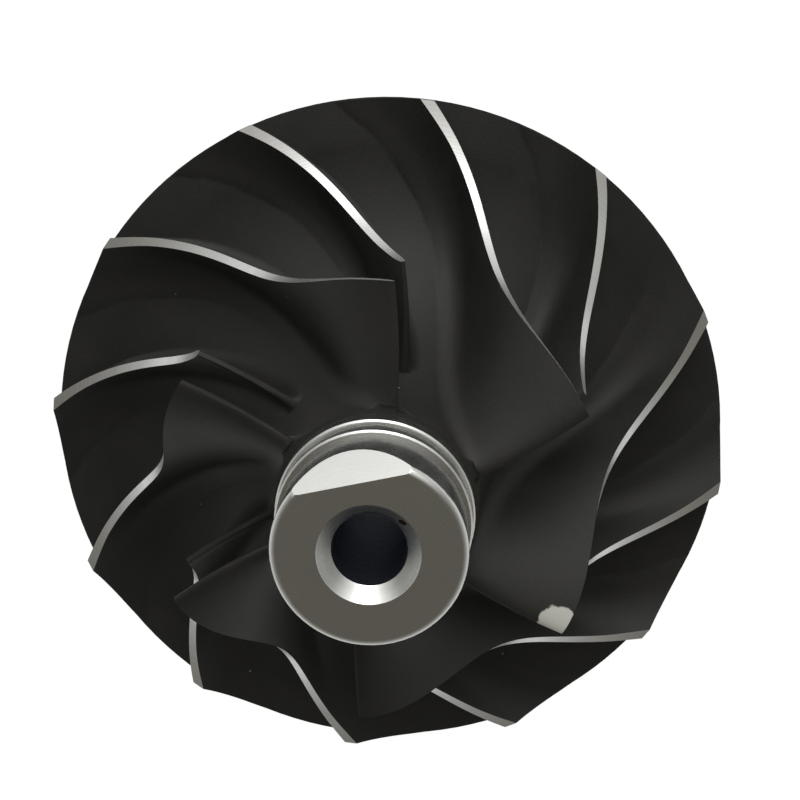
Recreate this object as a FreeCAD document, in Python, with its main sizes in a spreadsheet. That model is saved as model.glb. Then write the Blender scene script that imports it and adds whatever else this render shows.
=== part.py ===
"""Compressor wheel: a one-piece turned and cast impeller with six full blades and six splitters.

Millimetres, +Z up. The origin is the bore's centre at the plane of the back boss, on which the
wheel stands; the nose points up. Seen from the nose, every blade runs counter-clockwise from
its leading edge to its trailing edge.
"""
import FreeCAD, Part
import math
import os
import Sketcher
from FreeCAD import Vector

SIZES = [
    ("tip_radius", 26.0, "radius of the blades' trailing edges"),
    ("rim_lip", 0.12, "how far the back disc stands out past the trailing edges"),
    ("rim_thickness", 0.55, "disc thickness at its rim"),
    ("boss_height", 0.4, "how far the back boss stands behind the disc"),
    ("boss_radius", 8.0, "radius of the back boss"),
    ("flare_radius", 22.5, "where the flared hub meets the flat of the disc"),
    ("flare_rise", 0.3, "height of that place above the rim's top"),
    ("neck_radius", 6.6, "hub radius under the turned nose"),
    ("neck_height", 17.5, "height of that neck"),
    ("ring_radius", 6.35, "outer radius of the shoulder ring"),
    ("ring_width", 1.45, "width of the shoulder ring"),
    ("groove_depth", 0.4, "depth of the groove between the rings"),
    ("groove_width", 0.4, "width of the groove"),
    ("collar_step", 0.2, "how much smaller the second ring is than the first"),
    ("collar_width", 1.3, "width of the second ring"),
    ("break_edge", 0.12, "small chamfer on the rings"),
    ("nose_radius", 5.8, "radius of the nose"),
    ("nose_height", 25.3, "height of the nose's front face"),
    ("nose_round", 0.5, "rounding of the nose's front edge"),
    ("bore_radius", 2.25, "through bore"),
    ("mouth_flare", 0.8, "how much wider the bore's front mouth is than the bore"),
    ("mouth_depth", 0.9, "depth of that mouth"),
    ("balance_reach", 1.45, "how far the balancing cut reaches in over the nose's front face"),
    ("balance_drop", 1.9, "how far it reaches down the nose's side"),
    ("back_chamfer", 0.4, "chamfer at the bore's back mouth"),
    ("inducer_radius", 14.8, "tip radius of the full blades at their leading edges"),
    ("inducer_drop", 1.9, "straight turned length below the leading-edge tips"),
    ("edge_height", 17.55, "height of the full blades' leading-edge tips"),
    ("outlet_width", 2.1, "height of the trailing edges above the disc's rim"),
    ("shroud_fall", 7.3, "pull of the turned contour down from the inducer"),
    ("shroud_reach", 7.6, "pull of the turned contour inward from the outlet"),
    ("shroud_slope", 0.155, "rise of the turned contour at the outlet, per unit of radius"),
    ("blade_sets", 6.0, "number of full blades, and of splitters"),
    ("tip_pace", 1.6, "how slowly the turned edge's run starts, as a power"),
    ("root_pace", 1.9, "how slowly the root's run starts, as a power"),
    ("splitter_start", 0.45, "where a splitter starts, as a share of a full blade's run"),
    ("tip_wrap", 57.6, "angle from leading edge to trailing edge along the turned edge, degrees"),
    ("root_sweep", 6.7, "how far the root trails the tip over the inducer, degrees"),
    ("outlet_lean", 4.5, "how far the root leads the tip at the outlet, degrees"),
    ("thin_tip", 0.58, "blade thickness at its leading edge's tip"),
    ("thick_tip", 0.58, "blade thickness at its trailing edge's tip"),
    ("thin_root", 0.75, "blade thickness at its leading edge's root"),
    ("thick_root", 1.0, "blade thickness at its trailing edge's root"),
    ("edge_flat", 0.3, "width of the flat leading edge"),
    ("edge_length", 0.7, "length over which a blade thins towards that edge"),
    ("inlet_fillet", 0.8, "fillet at a blade's root, at its leading edge"),
    ("outlet_fillet", 1.8, "fillet at a blade's root, at its trailing edge"),
    ("turning_relief", 0.4, "how far outside the neck the turning of the nose reaches"),
]

doc = FreeCAD.newDocument("CompressorWheel")
sheet = doc.addObject("Spreadsheet::Sheet", "Sizes")
for row, (alias, value, meaning) in enumerate(SIZES, start=1):
    sheet.set("A%d" % row, str(value))
    sheet.setAlias("A%d" % row, alias)
    sheet.set("B%d" % row, meaning)
doc.recompute()


def size(alias):
    """The number in the sheet under this alias."""
    return float(sheet.get(alias))


def measure(*terms):
    """A sum of sizes, as its value and as the expression that binds a constraint to it.

    A term that starts with a minus sign is taken away.
    """
    value = 0.0
    text = "0"
    for term in terms:
        alias = term.lstrip("-")
        sign = "-" if term.startswith("-") else "+"
        value += size(alias) * (-1 if sign == "-" else 1)
        text += " %s Sizes.%s" % (sign, alias)
    return value, text


# ---------------------------------------------------------------- turned hub, disc and nose

def bind(sketch, constraint, text):
    """Add a named dimension and bind it to the sheet."""
    index = sketch.addConstraint(constraint)
    name = "size%d" % index
    sketch.renameConstraint(index, name)
    sketch.setExpression("Constraints." + name, text)


def half_profile(sketch, corners):
    """Draw a closed half profile in the XZ plane, with every corner dimensioned from the axis.

    corners: (radius, height, side) in order, the first two as measure() results. The side that
    follows a corner is a "line", the "flare" (the hub's hollow arc, its centre level with the
    neck) or the "round" (the nose's rounded edge, its centre level with its start).
    """
    count = len(corners)
    points = [Vector(radius[0], height[0], 0) for radius, height, _ in corners]
    sides = [side for _, _, side in corners]
    first_end = []
    for i, start in enumerate(points):
        end = points[(i + 1) % count]
        if sides[i] == "flare":
            centre = Vector(flare_centre(end, start), end.y, 0)
            drop = math.atan2(start.y - centre.y, start.x - centre.x) % (2 * math.pi)
            circle = Part.Circle(centre, Vector(0, 0, 1), centre.x - end.x)
            sketch.addGeometry(Part.ArcOfCircle(circle, math.pi, drop), False)
        elif sides[i] == "round":
            circle = Part.Circle(Vector(end.x, start.y, 0), Vector(0, 0, 1), end.y - start.y)
            sketch.addGeometry(Part.ArcOfCircle(circle, 0, math.pi / 2), False)
        else:
            sketch.addGeometry(Part.LineSegment(start, end), False)
        first_end.append(2 if sides[i] == "flare" else 1)
    for i in range(count):
        following = (i + 1) % count
        joint = (i, 3 - first_end[i], following, first_end[following])
        sketch.addConstraint(Sketcher.Constraint("Coincident", *joint))
    for i, (radius, height, side) in enumerate(corners):
        corner = (-1, 1, i, first_end[i])
        bind(sketch, Sketcher.Constraint("DistanceX", *corner, radius[0]), radius[1])
        bind(sketch, Sketcher.Constraint("DistanceY", *corner, height[0]), height[1])
        if side != "line":
            sketch.addConstraint(Sketcher.Constraint("Horizontal", i, 3, i, 1))


def flare_centre(neck, outer):
    """Radius of the centre of an arc that leaves the neck straight down and ends at outer."""
    across = outer.x - neck.x
    drop = neck.y - outer.y
    return neck.x + (across * across + drop * drop) / (2 * across)


def turned_body(name, corners):
    """A PartDesign body: a half profile revolved about the vertical axis."""
    body = doc.addObject("PartDesign::Body", name)
    planes = {feature.Role: feature for feature in body.Origin.OriginFeatures}
    sketch = body.newObject("Sketcher::SketchObject", name + "_profile")
    sketch.AttachmentSupport = [(planes["XZ_Plane"], "")]
    sketch.MapMode = "FlatFace"
    half_profile(sketch, corners)
    turn = body.newObject("PartDesign::Revolution", name + "_turn")
    turn.Profile = sketch
    turn.ReferenceAxis = (planes["Z_Axis"], [""])
    turn.Angle = 360
    body.Tip = turn
    doc.recompute()
    return body


rim = ("tip_radius", "rim_lip")
rim_top = ("boss_height", "rim_thickness")
ring_top = ("neck_height", "ring_width")
groove_top = ring_top + ("groove_width",)
collar_top = groove_top + ("collar_width",)
collar = ("ring_radius", "-collar_step")
mouth = ("bore_radius", "mouth_flare")

HUB = [
    (("bore_radius", "back_chamfer"), ()),
    (("boss_radius",), ()),
    (("boss_radius",), ("boss_height",)),
    (rim, ("boss_height",)),
    (rim, rim_top),
    (("flare_radius",), rim_top + ("flare_rise",), "flare"),
    (("neck_radius",), ("neck_height",)),
    (("ring_radius",), ("neck_height",)),
    (("ring_radius",), ring_top + ("-break_edge",)),
    (("ring_radius", "-break_edge"), ring_top),
    (("ring_radius", "-groove_depth"), ring_top),
    (("ring_radius", "-groove_depth"), groove_top),
    (collar + ("-break_edge",), groove_top),
    (collar, groove_top + ("break_edge",)),
    (collar, collar_top + ("-break_edge",)),
    (collar + ("-break_edge",), collar_top),
    (("nose_radius",), collar_top),
    (("nose_radius",), ("nose_height", "-nose_round"), "round"),
    (("nose_radius", "-nose_round"), ("nose_height",)),
    (mouth, ("nose_height",)),
    (("bore_radius",), ("nose_height", "-mouth_depth")),
    (("bore_radius",), ("back_chamfer",)),
]
hub_corners = []
for radius, height, *side in HUB:
    hub_corners.append((measure(*radius), measure(*height), side[0] if side else "line"))
hub = turned_body("hub", hub_corners)


# ---------------------------------------------------------------- turned envelope of the blades

OVERSHOOT = 0.6     # how far a blade's blank stands past the turned contour
OVERRUN = 0.03      # how far it runs past the outlet, as a share of its run
ROOT_SINK = 0.6     # how far it goes into the hub
SEAM_ANGLE = 90     # where the envelope's revolution starts, clear of the blade it trims
FIRST_ANGLE = 12    # where the first full blade's trailing edge is, from +X
STATIONS_ALONG = 24
CROWD_EDGE = 1.6     # power that crowds the stations towards the leading edge
FILLET_STATIONS = [-0.15, 0, 0.1, 0.35, 0.8, 1.4]   # stations above the root, as shares of its fillet
OPEN_STATIONS = 4   # stations from there to the blank's outer edge
FLARE_UNDER = 3     # how fast a fillet spreads on under the hub's surface
SMALL_STEP = 0.002  # share of the run over which the middle surface's slope is taken


def bezier(poles, share):
    """A point of a Bezier curve: poles are numbers or vectors."""
    row = list(poles)
    while len(row) > 1:
        row = [a * (1 - share) + b * share for a, b in zip(row, row[1:])]
    return row[0]


outlet_top = measure("boss_height", "rim_thickness", "outlet_width")[0]
tip_radius = size("tip_radius")
inducer_radius = size("inducer_radius")
edge_height = size("edge_height")
reach = size("shroud_reach")
turn_start = edge_height - size("inducer_drop")
TURNED_POLES = [
    Vector(inducer_radius, 0, turn_start),
    Vector(inducer_radius, 0, turn_start - size("shroud_fall")),
    Vector(tip_radius - reach, 0, outlet_top + size("shroud_slope") * reach),
    Vector(tip_radius, 0, outlet_top),
]


def turned_envelope():
    """What the blades are turned down to: a Bezier contour revolved, from within the disc up.

    At the neck it stops at the shoulder ring, where the turning of the nose clears the blades.
    """
    curve = Part.BezierCurve()
    curve.setPoles(TURNED_POLES)
    floor = size("boss_height") + size("rim_thickness") / 2
    top = edge_height + OVERSHOOT
    shoulder = size("neck_height")
    clear_radius = size("neck_radius") + size("turning_relief")
    outline = [
        TURNED_POLES[-1],
        Vector(tip_radius, 0, floor),
        Vector(0, 0, floor),
        Vector(0, 0, shoulder),
        Vector(clear_radius, 0, shoulder),
        Vector(clear_radius, 0, top),
        Vector(inducer_radius, 0, top),
        TURNED_POLES[0],
    ]
    edges = [Part.makeLine(a, b) for a, b in zip(outline, outline[1:])]
    face = Part.Face(Part.Wire([curve.toShape()] + edges))
    face.rotate(Vector(0, 0, 0), Vector(0, 0, 1), SEAM_ANGLE)
    return face.revolve(Vector(0, 0, 0), Vector(0, 0, 1), 360)


# ---------------------------------------------------------------- blades

neck = Vector(size("neck_radius"), 0, size("neck_height"))
rim_height = measure(*rim_top)[0]
flare_end = Vector(size("flare_radius"), 0, rim_height + size("flare_rise"))
flare_middle = flare_centre(Vector(neck.x, neck.z), Vector(flare_end.x, flare_end.z))
flare_bend = flare_middle - neck.x
flare_angle = math.atan2(flare_middle - flare_end.x, neck.z - flare_end.z)
flare_run = flare_bend * (math.pi / 2 - flare_angle)
rim_run = (Vector(tip_radius, 0, rim_height) - flare_end).Length

# Bezier poles along the run, leading edge first: the tip's angle behind the trailing edge, as
# shares of tip_wrap, and how far the root trails the tip, as shares of root_sweep.
WRAP_SHARES = [1, 0.728, 0.315, 0.364, 0]
SWEEP_SHARES = [1, 1, 1.2]
TIP_ANGLES = [-size("tip_wrap") * share for share in WRAP_SHARES]
ROOT_LEADS = [-size("root_sweep") * share for share in SWEEP_SHARES] + [size("outlet_lean")]


def tip_point(run):
    """(radius, 0, height) on the turned contour; run goes from 0 at the inducer to 1."""
    share = math.copysign(abs(run) ** size("tip_pace"), run)
    straight = size("inducer_drop")
    bend = straight / (straight + 3 * size("shroud_fall"))
    if share < bend:
        return Vector(inducer_radius, 0, edge_height - straight * share / bend)
    return bezier(TURNED_POLES, (share - bend) / (1 - bend))


def root_point(run):
    """(radius, 0, height) on the hub's surface for the same run."""
    length = run ** size("root_pace") * (flare_run + rim_run)
    if length < flare_run:
        turn = length / flare_bend
        across = flare_middle - flare_bend * math.cos(turn)
        return Vector(across, 0, neck.z - flare_bend * math.sin(turn))
    along = (length - flare_run) / rim_run
    return flare_end + (Vector(tip_radius, 0, rim_height) - flare_end) * along


def middle_point(run, share):
    """A point of the blade's middle surface; share is 0 at the root and 1 at the tip."""
    root = root_point(run)
    tip = tip_point(run)
    angle = bezier(TIP_ANGLES, run) + bezier(ROOT_LEADS, run) * (1 - share)
    return turned(root + (tip - root) * share, math.radians(angle))


def turned(point, angle):
    """A point turned about the wheel's axis."""
    across = point.x * math.cos(angle) - point.y * math.sin(angle)
    return Vector(across, point.x * math.sin(angle) + point.y * math.cos(angle), point.z)


def along_run(alias_in, alias_out, run):
    """A size that changes evenly from the leading edge to the trailing edge."""
    return size(alias_in) + (size(alias_out) - size(alias_in)) * run


def root_fillet(run):
    """Radius of the fillet at a blade's root."""
    return along_run("inlet_fillet", "outlet_fillet", run)


def fillet_spread(radius, depth):
    """How far a fillet of this radius stands out from the blade, at this depth above the hub."""
    if depth < 0:
        return radius - FLARE_UNDER * max(depth, FILLET_STATIONS[0] * radius)
    left = max(radius - depth, 0)
    return radius - math.sqrt(radius * radius - left * left)


def thickness(run, share, from_edge):
    """Blade thickness above the fillet: least at the tip and at the leading edge."""
    tip = along_run("thin_tip", "thick_tip", run)
    root = along_run("thin_root", "thick_root", run)
    body = tip + (root - tip) * (1 - share)
    thinning = ease(from_edge / size("edge_length"))
    return size("edge_flat") + (body - size("edge_flat")) * thinning


def fillet_turn(run, from_edge, depth):
    """Angle about the axis by which the fillet stands out from the blade's side, radians."""
    radius = root_fillet(run)
    flaring = ease(from_edge / (size("edge_length") + 2 * radius))
    root = middle_point(run, 0)
    around = Vector(-root.y, root.x, 0)
    return fillet_spread(radius, depth) * flaring / normal(run, 0).dot(around)


def ease(share):
    """A quarter ellipse: rises steeply from 0 and levels off at 1."""
    share = min(share, 1)
    return math.sqrt(share * (2 - share))


def normal(run, share):
    """Unit normal of the middle surface."""
    before = max(run - SMALL_STEP, 0)
    along = middle_point(run + SMALL_STEP, share) - middle_point(before, share)
    across = middle_point(run, share + SMALL_STEP) - middle_point(run, share - SMALL_STEP)
    return along.cross(across).normalize()


def blade_blank(start):
    """A solid blade that starts at this run and sticks out past the envelope and into the hub."""
    rows = []
    for i in range(STATIONS_ALONG + 1):
        share_along = (i / STATIONS_ALONG) ** CROWD_EDGE
        run = start + (1 + OVERRUN - start) * share_along
        height = (tip_point(run) - root_point(run)).Length
        depths = [-ROOT_SINK] + [share * root_fillet(run) for share in FILLET_STATIONS]
        step = (height + OVERSHOOT - depths[-1]) / OPEN_STATIONS
        depths += [depths[-1] + step * (j + 1) for j in range(OPEN_STATIONS)]
        rows.append([(run, depth / height, depth) for depth in depths])
    sides = [[], []]
    edge = [middle_point(start, share) for _, share, _ in rows[0]]
    for row in rows:
        points = [middle_point(run, share) for run, share, _ in row]
        from_edge = [(point - tip).Length for point, tip in zip(points, edge)]
        for side, sign in zip(sides, (-0.5, 0.5)):
            line = []
            for point, (run, share, depth), away in zip(points, row, from_edge):
                place = point + normal(run, share) * (thickness(run, share, away) * sign)
                line.append(turned(place, fillet_turn(run, away, depth) * 2 * sign))
            side.append(line)
    return closed_blade(*sides)


def smooth_surface(rows):
    """A cubic B-spline surface that follows rows of points as its poles."""
    surface = Part.BSplineSurface()
    knots = []
    repeats = []
    for count in (len(rows), len(rows[0])):
        inner = count - 4
        knots.append([i / (inner + 1) for i in range(inner + 2)])
        repeats.append([4] + [1] * inner + [4])
    surface.buildFromPolesMultsKnots(rows, *repeats, *knots, False, False, 3, 3)
    return surface


def closed_blade(left, right):
    """A solid between two smooth faces given by rows of points."""
    surfaces = [smooth_surface(rows) for rows in (left, right)]
    faces = [surface.toShape() for surface in surfaces]
    for pick in ("uIso", "vIso"):
        low, high = surfaces[0].bounds()[:2] if pick == "uIso" else surfaces[0].bounds()[2:]
        for place in (low, high):
            rails = [getattr(surface, pick)(place).toShape() for surface in surfaces]
            faces.append(Part.makeRuledSurface(*rails))
    shell = Part.Shell(faces)
    shell.sewShape()
    solid = Part.Solid(shell)
    if solid.Volume < 0:
        solid.reverse()
    return solid


def shaped(name, shape):
    """A document object that carries a shape of its own."""
    feature = doc.addObject("Part::Feature", name)
    feature.Shape = shape
    return feature


def trimmed_blade(name, start):
    """One blade: a blank in common with the turned envelope."""
    blade = doc.addObject("Part::Common", name)
    blade.Base = shaped(name + "_blank", blade_blank(start))
    blade.Tool = envelope
    return blade


envelope = shaped("envelope", turned_envelope())
patterns = [
    (trimmed_blade("full_blade", 0.0), 0.0),
    (trimmed_blade("splitter_blade", size("splitter_start")), 0.5),
]
doc.recompute()

blade_sets = round(size("blade_sets"))
blades = []
for blade, offset in patterns:
    for i in range(blade_sets):
        copy = shaped("%s_%d" % (blade.Name, i + 1), blade.Shape.copy())
        turn = FIRST_ANGLE + 360 * (i + offset) / blade_sets
        copy.Placement = FreeCAD.Placement(Vector(0, 0, 0), Vector(0, 0, 1), turn)
        blades.append(copy)

bladed_hub = doc.addObject("Part::MultiFuse", "bladed_hub")
bladed_hub.Shapes = [hub] + blades


# ---------------------------------------------------------------- flat cut that balances the wheel

BALANCE_ANGLE = -89     # which way the cut faces, from +X


def balance_tool():
    """A wedge over the nose's front edge: its slanting side is the cut."""
    inward = ("nose_radius", "-balance_reach", "-balance_reach")
    outward = ("nose_radius", "balance_reach")
    above = ("nose_height", "balance_drop")
    below = ("nose_height", "-balance_drop", "-balance_drop")
    corners = [(inward, above), (outward, below), (outward, above)]
    sketch = doc.addObject("Sketcher::SketchObject", "balance_cut_profile")
    facing = FreeCAD.Rotation(Vector(0, 0, 1), BALANCE_ANGLE)
    upright = FreeCAD.Rotation(Vector(1, 0, 0), 90)
    sketch.Placement = FreeCAD.Placement(Vector(0, 0, 0), facing.multiply(upright))
    half_profile(sketch, [(measure(*radius), measure(*height), "line") for radius, height in corners])
    wedge = doc.addObject("Part::Extrusion", "balance_cut")
    wedge.Base = sketch
    wedge.DirMode = "Normal"
    wedge.Solid = True
    wedge.Symmetric = True
    wedge.setExpression("LengthFwd", "2 * Sizes.nose_radius")
    return wedge


wheel = doc.addObject("Part::Cut", "wheel")
wheel.Label = "compressor_wheel"
wheel.Base = bladed_hub
wheel.Tool = balance_tool()
wheel.Placement = FreeCAD.Placement()
doc.recompute()


# ---------------------------------------------------------------- checks and export

for item in doc.Objects:
    faults = {"Invalid", "Error"} & set(item.State)
    if faults:
        raise RuntimeError("%s failed: %s" % (item.Name, ", ".join(sorted(faults))))
if wheel.Shape.isNull() or not wheel.Shape.isValid():
    raise RuntimeError("the wheel is not a valid shape")
if len(wheel.Shape.Solids) != 1:
    raise RuntimeError("the wheel is not one solid")

os.makedirs("parts", exist_ok=True)
wheel.Shape.exportStep(os.path.join("parts", wheel.Label + ".step"))
print("compressor_wheel: %.1f mm3, %s" % (wheel.Shape.Volume, wheel.Shape.BoundBox))
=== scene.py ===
"""Looks of a turbocharger compressor wheel: its cast and turned finishes, floor, lamp and camera."""
import math

import bmesh
import bpy
from mathutils import Matrix, Vector


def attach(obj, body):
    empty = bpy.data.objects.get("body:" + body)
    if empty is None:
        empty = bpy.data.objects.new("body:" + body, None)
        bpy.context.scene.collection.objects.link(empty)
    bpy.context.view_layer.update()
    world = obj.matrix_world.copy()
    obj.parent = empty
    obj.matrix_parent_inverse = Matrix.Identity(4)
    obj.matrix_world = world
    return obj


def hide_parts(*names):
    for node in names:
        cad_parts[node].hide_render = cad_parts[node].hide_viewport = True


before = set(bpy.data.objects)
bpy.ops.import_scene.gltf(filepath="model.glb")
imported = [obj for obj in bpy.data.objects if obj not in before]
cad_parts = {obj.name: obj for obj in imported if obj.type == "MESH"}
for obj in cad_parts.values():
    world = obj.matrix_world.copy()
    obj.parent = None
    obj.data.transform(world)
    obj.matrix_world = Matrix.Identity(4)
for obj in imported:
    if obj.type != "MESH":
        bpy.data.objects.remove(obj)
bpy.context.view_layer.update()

MM = 0.001

# ---------------------------------------------------------------- the wheel's own sizes, in mm

TIP_RADIUS = 26.0
INDUCER_RADIUS = 14.8
EDGE_HEIGHT = 17.55         # height of the leading edges' tips
TURN_START = 15.65          # where the straight turned part under them ends
OUTLET_TOP = 3.05
SHROUD_FALL = 7.3
SHROUD_REACH = 7.6
SHROUD_SLOPE = 0.155
NECK_RADIUS = 6.6
NECK_HEIGHT = 17.5
RING_RADIUS = 6.35
BORE_RADIUS = 2.25
FLARE_RADIUS = 22.5         # where the flared hub meets the flat of the disc
FLARE_RISE = 0.3            # height of that place above the rim's top
RIM_TOP = 0.95
RIM_RADIUS = 26.12
PAST_EDGE = 1.0             # how far the turned contour is drawn on above the leading edges
ON_SURFACE = 0.02           # how near a surface its corners lie
WELD = 0.0005               # how near each other two corners are welded

# The hub's flare: how far it falls and reaches out, and the radius of its centre, which is level
# with the neck.
FLARE_FALL = NECK_HEIGHT - RIM_TOP - FLARE_RISE
FLARE_REACH = FLARE_RADIUS - NECK_RADIUS
FLARE_MIDDLE = (FLARE_RADIUS ** 2 + FLARE_FALL ** 2 - NECK_RADIUS ** 2) / (2 * FLARE_REACH)

SHROUD_POLES = [
    (INDUCER_RADIUS, TURN_START),
    (INDUCER_RADIUS, TURN_START - SHROUD_FALL),
    (TIP_RADIUS - SHROUD_REACH, OUTLET_TOP + SHROUD_SLOPE * SHROUD_REACH),
    (TIP_RADIUS, OUTLET_TOP),
]


def shroud_line(count=300):
    """Points (radius, height) of the contour that the blades' outer edges are turned to."""
    line = [(INDUCER_RADIUS, EDGE_HEIGHT + PAST_EDGE)]
    for i in range(count + 1):
        t = i / count
        weights = ((1 - t) ** 3, 3 * t * (1 - t) ** 2, 3 * t * t * (1 - t), t ** 3)
        line.append(tuple(sum(w * p[k] for w, p in zip(weights, SHROUD_POLES)) for k in (0, 1)))
    line.append((TIP_RADIUS, RIM_TOP))
    return line


SHROUD = [Vector(point) for point in shroud_line()]


def shroud_gap(corner):
    """Distance of a corner from the turned contour, in mm."""
    place = Vector((math.hypot(corner.x, corner.y), corner.z)) / MM
    nearest = min(range(len(SHROUD)), key=lambda i: (SHROUD[i] - place).length_squared)
    gaps = []
    for i in range(max(nearest - 1, 0), min(nearest + 1, len(SHROUD) - 1)):
        start = SHROUD[i]
        along = SHROUD[i + 1] - start
        share = min(max((place - start).dot(along) / along.length_squared, 0), 1)
        gaps.append((place - start - along * share).length)
    return min(gaps)


# ---------------------------------------------------------------- node tools

class Tree:
    """A short way to add and link shader nodes."""

    def __init__(self, tree):
        self.tree = tree

    def add(self, kind, inputs=None, **values):
        node = self.tree.nodes.new(kind)
        for name, value in values.items():
            setattr(node, name, value)
        for name, value in (inputs or {}).items():
            self.put(node, name, value)
        return node

    def put(self, node, name, value):
        socket = node.inputs[name]
        if isinstance(value, bpy.types.NodeSocket):
            self.tree.links.new(value, socket)
        else:
            socket.default_value = value

    def math(self, operation, *values):
        node = self.add("ShaderNodeMath", operation=operation)
        for i, value in enumerate(values):
            self.put(node, i, value)
        return node.outputs[0]

    def mix(self, factor, first, second):
        node = self.add("ShaderNodeMix", data_type="RGBA")
        for i, value in ((0, factor), (6, first), (7, second)):
            self.put(node, i, value)
        return node.outputs[2]

    def span(self, value, low, high, to_low=0.0, to_high=1.0):
        node = self.add("ShaderNodeMapRange")
        for i, number in enumerate((value, low, high, to_low, to_high)):
            self.put(node, i, number)
        return node.outputs[0]


def node_group(name, inputs, outputs):
    """A shader node group with these named inputs (name, kind, value) and outputs (name, kind)."""
    group = bpy.data.node_groups.new(name, "ShaderNodeTree")
    for title, kind, value in inputs:
        socket = group.interface.new_socket(name=title, in_out="INPUT", socket_type=kind)
        if value is not None:
            socket.default_value = value
    for title, kind in outputs:
        group.interface.new_socket(name=title, in_out="OUTPUT", socket_type=kind)
    tree = Tree(group)
    return group, tree, tree.add("NodeGroupInput").outputs, tree.add("NodeGroupOutput")


FLOAT = "NodeSocketFloat"
COLOUR = "NodeSocketColor"
VECTOR = "NodeSocketVector"


def radius_and_height(tree):
    """The distance from the wheel's axis and the height above its back, in mm."""
    place = tree.add("ShaderNodeTexCoord").outputs["Object"]
    split = tree.add("ShaderNodeSeparateXYZ", {0: place}).outputs
    square = tree.math("ADD", tree.math("MULTIPLY", split[0], split[0]),
                       tree.math("MULTIPLY", split[1], split[1]))
    radius = tree.math("MULTIPLY", tree.math("SQRT", square), 1 / MM)
    return place, radius, tree.math("MULTIPLY", split[2], 1 / MM)


BLOTCHES_PER_MM = 0.22
BLOTCH_LEVELS = (0.38, 0.62)        # noise levels between which the tint takes over
GRAIN_LEVELS = (0.3, 0.7)
GRAIN_SHADES = (0.86, 1.14)         # how far the grain darkens and lightens the colour
SPECK_CELLS_PER_MM = 0.26
SPECK_EDGE = (0.03, 0.02)           # a speck's outer and inner radius, as shares of its cell
SMEARS_PER_MM = 0.9
RING_SHARE = 0.7                    # the rings' part in the marks; the rest is smears
RING_LEVELS = (0.35, 0.62)          # levels between which the dark colour gives way
GLOSS_LEVELS = (0.3, 0.7)
GLOSS_CHANGES = (0.06, -0.06)
SPOT_LUMPS = 1.6                    # lumps per mm along a spot's edge
SPOT_EDGE = (1.04, 0.94)            # a spot's outer and inner edge, as shares of its reach


def make_cast_skin():
    """Fine cast grain: mottled colour, uneven gloss, a grainy surface and a few light specks."""
    group, tree, given, result = node_group(
        "cast_skin",
        [("Colour", COLOUR, (0.05, 0.05, 0.05, 1)), ("Tint", COLOUR, (0.06, 0.05, 0.04, 1)),
         ("Grain per mm", FLOAT, 5.0), ("Gloss spread", FLOAT, 0.1), ("Roughness", FLOAT, 0.5),
         ("Depth", FLOAT, 0.01), ("Speck", COLOUR, (0.22, 0.22, 0.20, 1))],
        [("Colour", COLOUR), ("Roughness", FLOAT), ("Normal", VECTOR)])
    place = tree.add("ShaderNodeTexCoord").outputs["Object"]
    blotch = tree.add("ShaderNodeTexNoise", {"Vector": place, "Scale": BLOTCHES_PER_MM / MM,
                                             "Detail": 3.0})
    scale = tree.math("MULTIPLY", given["Grain per mm"], 1 / MM)
    grain = tree.add("ShaderNodeTexNoise", {"Vector": place, "Scale": scale, "Detail": 3.0,
                                            "Roughness": 0.6})
    patch = tree.span(blotch.outputs[0], *BLOTCH_LEVELS)
    colour = tree.mix(patch, given["Colour"], given["Tint"])
    shade = tree.span(grain.outputs[0], *GRAIN_LEVELS, *GRAIN_SHADES)
    bright = tree.add("ShaderNodeMix", data_type="RGBA", blend_type="MULTIPLY")
    tree.put(bright, 0, 1.0)
    tree.put(bright, 6, colour)
    grey = tree.add("ShaderNodeCombineColor", {0: shade, 1: shade, 2: shade}).outputs[0]
    tree.put(bright, 7, grey)
    cells = tree.add("ShaderNodeTexVoronoi", {"Vector": place,
                                               "Scale": SPECK_CELLS_PER_MM / MM})
    speck = tree.span(cells.outputs["Distance"], *SPECK_EDGE)
    tree.put(result, "Colour", tree.mix(speck, bright.outputs[2], given["Speck"]))
    spread = tree.math("MULTIPLY", tree.math("SUBTRACT", patch, 0.5), given["Gloss spread"])
    tree.put(result, "Roughness", tree.math("ADD", given["Roughness"], spread))
    bump = tree.add("ShaderNodeBump", {"Height": grain.outputs[0], "Strength": 1.0,
                                       "Distance": tree.math("MULTIPLY", given["Depth"], MM)})
    tree.put(result, "Normal", bump.outputs[0])
    return group


def make_turning_marks():
    """Fine rings left by turning, about the wheel's axis."""
    group, tree, given, result = node_group(
        "turning_marks",
        [("Colour", COLOUR, (0.8, 0.8, 0.8, 1)), ("Dark", COLOUR, (0.5, 0.5, 0.5, 1)),
         ("Rings per mm", FLOAT, 8.0), ("Roughness", FLOAT, 0.3), ("Depth", FLOAT, 0.002)],
        [("Colour", COLOUR), ("Roughness", FLOAT), ("Normal", VECTOR)])
    place, radius, height = radius_and_height(tree)
    run = tree.math("MULTIPLY", tree.math("SUBTRACT", radius, height), given["Rings per mm"])
    ring = tree.add("ShaderNodeTexNoise", {"W": run, "Scale": 1.0, "Detail": 2.0},
                    noise_dimensions="1D")
    smear = tree.add("ShaderNodeTexNoise", {"Vector": place, "Scale": SMEARS_PER_MM / MM,
                                            "Detail": 3.0})
    level = tree.math("ADD", tree.math("MULTIPLY", ring.outputs[0], RING_SHARE),
                      tree.math("MULTIPLY", smear.outputs[0], 1 - RING_SHARE))
    light = tree.span(level, *RING_LEVELS)
    tree.put(result, "Colour", tree.mix(light, given["Dark"], given["Colour"]))
    change = tree.span(level, *GLOSS_LEVELS, *GLOSS_CHANGES)
    tree.put(result, "Roughness", tree.math("ADD", given["Roughness"], change))
    bump = tree.add("ShaderNodeBump", {"Height": ring.outputs[0], "Strength": 1.0,
                                       "Distance": tree.math("MULTIPLY", given["Depth"], MM)})
    tree.put(result, "Normal", bump.outputs[0])
    return group


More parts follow.
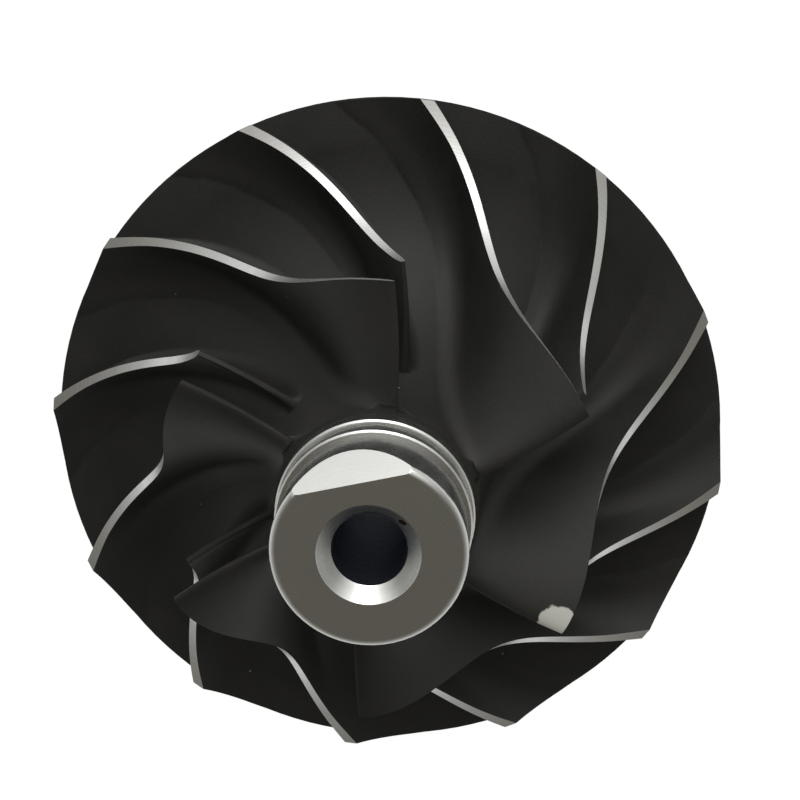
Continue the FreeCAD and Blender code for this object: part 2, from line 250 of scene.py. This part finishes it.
def make_spot():
    """One uneven spot: a mask that is 1 within an ellipsoid about a place, in mm."""
    group, tree, given, result = node_group(
        "spot",
        [("Place", VECTOR, None), ("Reach", VECTOR, None), ("Uneven", FLOAT, 0.5)],
        [("Mask", FLOAT)])
    place = tree.add("ShaderNodeTexCoord").outputs["Object"]
    scaled = tree.add("ShaderNodeVectorMath", {0: place, "Scale": 1 / MM}, operation="SCALE")
    away = tree.add("ShaderNodeVectorMath", {0: scaled.outputs[0], 1: given["Place"]},
                    operation="SUBTRACT")
    share = tree.add("ShaderNodeVectorMath", {0: away.outputs[0], 1: given["Reach"]},
                     operation="DIVIDE")
    length = tree.add("ShaderNodeVectorMath", {0: share.outputs[0]}, operation="LENGTH")
    ragged = tree.add("ShaderNodeTexNoise", {"Vector": scaled.outputs[0], "Scale": SPOT_LUMPS,
                                             "Detail": 2.0})
    wander = tree.math("MULTIPLY", tree.math("SUBTRACT", ragged.outputs[0], 0.5), given["Uneven"])
    edge = tree.math("ADD", length.outputs["Value"], wander)
    tree.put(result, "Mask", tree.span(edge, *SPOT_EDGE))
    return group


CAST_SKIN = make_cast_skin()
TURNING_MARKS = make_turning_marks()
SPOT = make_spot()

# Spots as (place, reach along each axis), in mm.
PAINT_DAB = ((-10.15, 9.75, 17.6), (1.35, 1.1, 0.9))
BROWN_SPOT = ((-2.3, -1.5, 24.9), (0.32, 0.22, 0.3))

# What is the same all over a finish, by its short name and its socket.
PLAIN_SOCKETS = {"metallic": "Metallic", "specular": "Specular IOR Level"}


def finish_of(name, group, values, spots=(), **plain):
    """A material whose colour, roughness and normal come from a group with these inputs.

    spots: (spot, colour, roughness) of each spot that lies on top of it.
    plain: what is the same all over it, by the short names of PLAIN_SOCKETS.
    """
    material = bpy.data.materials.new(name)
    material.use_nodes = True
    material.node_tree.nodes.clear()
    tree = Tree(material.node_tree)
    marks = tree.add("ShaderNodeGroup", node_tree=group)
    for title, value in values.items():
        tree.put(marks, title, value)
    colour = marks.outputs["Colour"]
    roughness = marks.outputs["Roughness"]
    for (place, reach), spot_colour, spot_roughness in spots:
        mask = tree.add("ShaderNodeGroup", {"Place": place, "Reach": reach},
                        node_tree=SPOT).outputs["Mask"]
        colour = tree.mix(mask, colour, spot_colour)
        roughness = tree.span(mask, 0, 1, roughness, spot_roughness)
    shader = tree.add("ShaderNodeBsdfPrincipled")
    tree.put(shader, "Base Color", colour)
    tree.put(shader, "Roughness", roughness)
    tree.put(shader, "Normal", marks.outputs["Normal"])
    for title, value in plain.items():
        shader.inputs[PLAIN_SOCKETS[title]].default_value = value
    tree.add("ShaderNodeOutputMaterial", {"Surface": shader.outputs[0]})
    return material


casting = finish_of("dark_casting", CAST_SKIN, {
    "Colour": (0.0185, 0.0183, 0.0172, 1), "Tint": (0.0230, 0.0222, 0.0196, 1),
    "Roughness": 0.54, "Gloss spread": 0.06, "Depth": 0.012}, metallic=0.0,
    specular=0.32, spots=[(PAINT_DAB, (0.58, 0.58, 0.53, 1), 0.45)])
turned_edge = finish_of("turned_blade_edge", TURNING_MARKS, {
    "Colour": (0.80, 0.80, 0.79, 1), "Dark": (0.66, 0.66, 0.65, 1), "Rings per mm": 9.0,
    "Roughness": 0.34, "Depth": 0.003}, metallic=1.0)
turned_nose = finish_of("turned_nose", TURNING_MARKS, {
    "Colour": (0.68, 0.68, 0.66, 1), "Dark": (0.60, 0.60, 0.585, 1), "Rings per mm": 12.0,
    "Roughness": 0.26, "Depth": 0.0010}, metallic=1.0,
    spots=[(BROWN_SPOT, (0.035, 0.012, 0.012, 1), 0.6)])
reamed_bore = finish_of("reamed_bore", TURNING_MARKS, {
    "Colour": (0.52, 0.56, 0.64, 1), "Dark": (0.36, 0.39, 0.45, 1), "Rings per mm": 6.0,
    "Roughness": 0.30, "Depth": 0.004}, metallic=1.0)
turned_back = finish_of("turned_back", TURNING_MARKS, {
    "Colour": (0.62, 0.62, 0.61, 1), "Dark": (0.48, 0.48, 0.47, 1), "Rings per mm": 7.0,
    "Roughness": 0.36, "Depth": 0.003}, metallic=1.0)
FINISHES = [casting, turned_edge, turned_nose, reamed_bore, turned_back]
CASTING, EDGE, NOSE, BORE, BACK = range(len(FINISHES))


# ---------------------------------------------------------------- the wheel in its finishes

FACES_UP = 0.5                      # height of an upward face's normal
FACES_OUT = 0.9                     # how far a turned edge's normal leans up and outward
RUN_OUT = 0.75                      # how alike two normals are where a fillet runs out
SHARP_TURN = math.radians(36)       # turn between two faces that leaves a sharp edge


def finish_index(face):
    """Which finish a face of the wheel has, from where its corners lie."""
    radii = [math.hypot(v.co.x, v.co.y) / MM for v in face.verts]
    heights = [v.co.z / MM for v in face.verts]
    if max(radii) < BORE_RADIUS + ON_SURFACE:
        return BORE
    if max(heights) < RIM_TOP + ON_SURFACE:
        if face.normal.z < FACES_UP or min(radii) > RIM_RADIUS - ON_SURFACE:
            return BACK
    if min(heights) > NECK_HEIGHT - ON_SURFACE and max(radii) < RING_RADIUS + ON_SURFACE:
        return NOSE
    outward = face.calc_center_median()
    outward.z = 0
    lean = face.normal.dot(outward.normalized() + Vector((0, 0, 1)))
    if min(radii) > INDUCER_RADIUS - ON_SURFACE and lean > FACES_OUT:
        if all(shroud_gap(v.co) < ON_SURFACE for v in face.verts):
            return EDGE
    return CASTING


def hub_normal(corner):
    """The turned hub's own normal at a corner, or None where the corner isn't on the hub."""
    outward = Vector((corner.x, corner.y, 0)) / MM
    radius = outward.length
    height = corner.z / MM
    if not NECK_RADIUS < radius < RIM_RADIUS:
        return None
    if radius < FLARE_RADIUS:
        across = Vector((FLARE_MIDDLE - radius, NECK_HEIGHT - height))
        gap = across.length - (FLARE_MIDDLE - NECK_RADIUS)
    else:
        across = Vector((FLARE_RISE, RIM_RADIUS - FLARE_RADIUS))
        level = RIM_TOP + FLARE_RISE * (RIM_RADIUS - radius) / (RIM_RADIUS - FLARE_RADIUS)
        gap = height - level
    if abs(gap) > ON_SURFACE:
        return None
    across.normalize()
    return outward.normalized() * across.x + Vector((0, 0, across.y))


def smooth_roots(mesh):
    """Give the casting's corners on the hub the hub's normal, so that fillets run out softly."""
    normals = [normal.vector.copy() for normal in mesh.corner_normals]
    on_hub = [hub_normal(vertex.co) for vertex in mesh.vertices]
    for face in mesh.polygons:
        if face.material_index != CASTING:
            continue
        for loop in face.loop_indices:
            own = on_hub[mesh.loops[loop].vertex_index]
            if own and own.dot(normals[loop]) > RUN_OUT:
                normals[loop] = own
    mesh.normals_split_custom_set(normals)


def dressed_wheel():
    """A copy of the CAD wheel, welded and smooth, with a finish on each face."""
    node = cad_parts["compressor_wheel"]
    mesh = node.data.copy()
    mesh.materials.clear()
    for finish in FINISHES:
        mesh.materials.append(finish)
    shape = bmesh.new()
    shape.from_mesh(mesh)
    bmesh.ops.remove_doubles(shape, verts=shape.verts, dist=WELD * MM)
    shape.normal_update()
    for face in shape.faces:
        face.material_index = finish_index(face)
        face.smooth = True
    for edge in shape.edges:
        sides = edge.link_faces
        if len(sides) == 2:
            turn = sides[0].normal.angle(sides[1].normal, 0)
            alike = sides[0].material_index == sides[1].material_index
            edge.smooth = alike and turn < SHARP_TURN
    shape.to_mesh(mesh)
    shape.free()
    smooth_roots(mesh)
    wheel = bpy.data.objects.new("finished_wheel", mesh)
    bpy.context.scene.collection.objects.link(wheel)
    return wheel


wheel = dressed_wheel()
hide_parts("compressor_wheel")
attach(wheel, "root")


# ---------------------------------------------------------------- floor, lamp, world and camera

FLOOR_REACH = 1.0           # metres, from the axis to the floor's edge
FLOOR_GREY = 0.9
FLOOR_GLOW = 1.08
GLOW_SHARE = 0.9            # share of what is seen of the floor that glows
MIRRORED_SHARE = 0.55       # the same for what is seen mirrored, as a share of that
PAINTED_SHADE_RADII = (3, 16)       # mm, radii over which the floor's glow goes from a painted shade under the wheel to full
# share of the floor's glow left in that painted shade under the wheel
PAINTED_SHADE_GLOW_SHARE = 0.08


def lit_floor():
    """A pale floor that looks white and keeps the wheel's shadow, with a painted shade in its glow
    under the wheel.
    """
    material = bpy.data.materials.new("pale_floor")
    material.use_nodes = True
    material.node_tree.nodes.clear()
    tree = Tree(material.node_tree)
    matt = tree.add("ShaderNodeBsdfDiffuse", {"Color": (FLOOR_GREY, FLOOR_GREY, FLOOR_GREY, 1)})
    white = tree.add("ShaderNodeEmission", {"Color": (1, 1, 1, 1), "Strength": FLOOR_GLOW})
    path = tree.add("ShaderNodeLightPath")
    mirrored = tree.math("MAXIMUM", path.outputs["Is Glossy Ray"],
                         path.outputs["Is Transmission Ray"])
    seen = tree.math("MAXIMUM", path.outputs["Is Camera Ray"],
                     tree.math("MULTIPLY", mirrored, MIRRORED_SHARE))
    place = tree.add("ShaderNodeTexCoord").outputs["Object"]
    away = tree.add("ShaderNodeVectorMath", {0: place}, operation="LENGTH").outputs["Value"]
    start, end = [radius * MM for radius in PAINTED_SHADE_RADII]
    # painted shade: the floor's glow is taken down under the wheel, so that it looks dark where the
    # bore mirrors it
    glow_outside_painted_shade = tree.span(away, start, end, to_low=PAINTED_SHADE_GLOW_SHARE)
    share = tree.math("MULTIPLY", tree.math("MULTIPLY", seen, GLOW_SHARE), glow_outside_painted_shade)
    both = tree.add("ShaderNodeMixShader", {0: share, 1: matt.outputs[0], 2: white.outputs[0]})
    tree.add("ShaderNodeOutputMaterial", {"Surface": both.outputs[0]})
    shape = bmesh.new()
    bmesh.ops.create_grid(shape, x_segments=1, y_segments=1, size=FLOOR_REACH)
    mesh = bpy.data.meshes.new("floor")
    shape.to_mesh(mesh)
    shape.free()
    mesh.materials.append(material)
    floor = bpy.data.objects.new("floor", mesh)
    bpy.context.scene.collection.objects.link(floor)


KEY_PLACE = (-55, -235, 135)
KEY_TARGET = (0, 0, 10)
KEY_SIZE = (150, 110)
KEY_POWER = 0.16
KEY_GLOW = (1.05, 1.05, 1.04, 1)
AROUND_KEY = (0.45, 0.90)           # cosines of the angle from the lamp, at the glow's ends
OVERHEAD_SKY = (0.128, 0.121, 0.100, 1)
HORIZON_SKY = (0.50, 0.50, 0.49, 1)
OVERHEAD = (0.05, 0.78)             # heights in the sky between which it goes dim


def lamp(name, place, target, size, power):
    """A soft lamp, its place, target and size in mm, its power in watts."""
    light = bpy.data.lights.new(name, "AREA")
    light.shape = "RECTANGLE"
    light.size = size[0] * MM
    light.size_y = size[1] * MM
    light.energy = power
    holder = bpy.data.objects.new(name, light)
    start = Vector(place) * MM
    holder.location = start
    holder.rotation_euler = (Vector(target) * MM - start).to_track_quat("-Z", "Y").to_euler()
    bpy.context.scene.collection.objects.link(holder)


def studio_world():
    """A sky that is dim overhead, brighter towards the horizon and brightest around the lamp."""
    world = bpy.data.worlds.new("studio")
    world.use_nodes = True
    world.node_tree.nodes.clear()
    tree = Tree(world.node_tree)
    place = tree.add("ShaderNodeTexCoord").outputs["Generated"]
    height = tree.add("ShaderNodeSeparateXYZ", {0: place}).outputs[2]
    sky = tree.mix(tree.span(height, *OVERHEAD), HORIZON_SKY, OVERHEAD_SKY)
    towards = tree.add("ShaderNodeVectorMath", {0: place, 1: Vector(KEY_PLACE).normalized()},
                       operation="DOT_PRODUCT").outputs["Value"]
    near = tree.span(towards, *AROUND_KEY)
    glow = tree.mix(tree.math("MULTIPLY", near, near), (0, 0, 0, 1), KEY_GLOW)
    both = tree.add("ShaderNodeMix", data_type="RGBA", blend_type="ADD")
    for socket, value in ((0, 1.0), (6, sky), (7, glow)):
        tree.put(both, socket, value)
    background = tree.add("ShaderNodeBackground", {"Color": both.outputs[2], "Strength": 1.0})
    tree.add("ShaderNodeOutputWorld", {"Surface": background.outputs[0]})
    bpy.context.scene.world = world


CAMERA_PLACE = (-8.05, -22.22, 82.34)
CAMERA_AIM = (-2.256, -4.938, 9.5)
CAMERA_ROLL = -172.1        # degrees
CAMERA_LENS = 48.0          # mm, as the sensor's width
SENSOR_WIDTH = 36.0


def add_camera():
    """The camera, looking down on the nose and a little from the side."""
    lens = bpy.data.cameras.new("camera")
    lens.lens = CAMERA_LENS
    lens.sensor_width = SENSOR_WIDTH
    lens.clip_start = MM
    camera = bpy.data.objects.new("camera", lens)
    start = Vector(CAMERA_PLACE) * MM
    aim = (Vector(CAMERA_AIM) * MM - start).to_track_quat("-Z", "Y").to_matrix().to_4x4()
    roll = Matrix.Rotation(math.radians(CAMERA_ROLL), 4, "Z")
    camera.matrix_world = Matrix.Translation(start) @ aim @ roll
    bpy.context.scene.collection.objects.link(camera)
    bpy.context.scene.camera = camera


lit_floor()
lamp("key", KEY_PLACE, KEY_TARGET, KEY_SIZE, KEY_POWER)
studio_world()
add_camera()
bpy.context.scene.view_settings.view_transform = "Standard"
